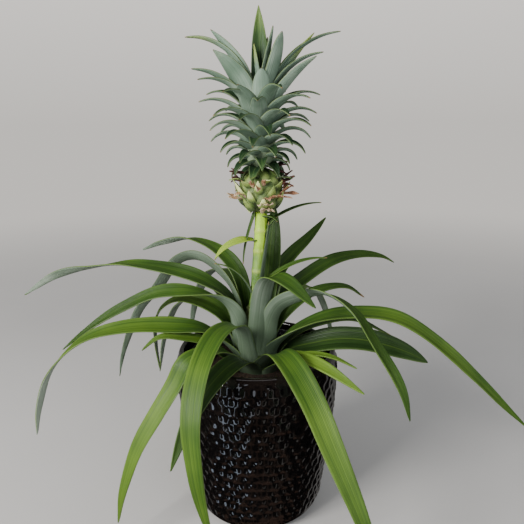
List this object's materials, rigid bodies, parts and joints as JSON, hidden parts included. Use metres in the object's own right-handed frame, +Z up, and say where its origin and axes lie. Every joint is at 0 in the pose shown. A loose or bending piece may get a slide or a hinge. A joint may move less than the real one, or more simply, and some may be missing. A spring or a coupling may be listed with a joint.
{
  "type": "potted pineapple plant",
  "caption": "Miniature ornamental pineapple plant with arching strap leaves, a crowned fruit on a bare stalk, and a dimpled round ceramic pot.",
  "frame": {"origin": "centre of the pot's flat underside, on the surface it stands on", "axes": "+Z up along the pot's axis, -Y towards the side from which the long leaves spread left and right, +X to the right of that view"},
  "size_m": [0.4565, 0.326, 0.415],
  "materials": {
    "ceramic": "gloss",
    "nursery_plastic": "satin",
    "soil": "matte",
    "stem": "satin",
    "leaf": "satin",
    "stalk": "satin",
    "fruit": "matte",
    "crown": "matte"
  },
  "bodies": {
    "root": {"cachepot": "ceramic", "nursery_pot": "nursery_plastic", "potting_soil": "soil", "stem": "stem", "fruit_stalk": "stalk", "fruit": "fruit", "crown": "crown", "leaf_front_inner": "leaf", "leaf_front_right": "leaf", "leaf_front_right_short": "leaf", "leaf_right_small": "leaf", "leaf_right_inner": "leaf", "leaf_right_low": "leaf", "leaf_right_long": "leaf", "leaf_right_back_low": "leaf", "leaf_right_back_short": "leaf", "leaf_right_back_long": "leaf", "leaf_back_right_upright": "leaf", "leaf_back_right_tall": "leaf", "leaf_back_right_low": "leaf", "leaf_back_right": "leaf", "leaf_back_low": "leaf", "leaf_back_left": "leaf", "leaf_back_left_low": "leaf", "leaf_back_left_upper": "leaf", "leaf_left_drooping": "leaf", "leaf_left_back_short": "leaf", "leaf_left_long": "leaf", "leaf_left_upper_arch": "leaf", "leaf_left_thin": "leaf", "leaf_left_bright": "leaf", "leaf_left_short": "leaf", "leaf_left_front": "leaf", "leaf_front_left": "leaf", "leaf_front_left_low": "leaf"}
  },
  "joints": []
}
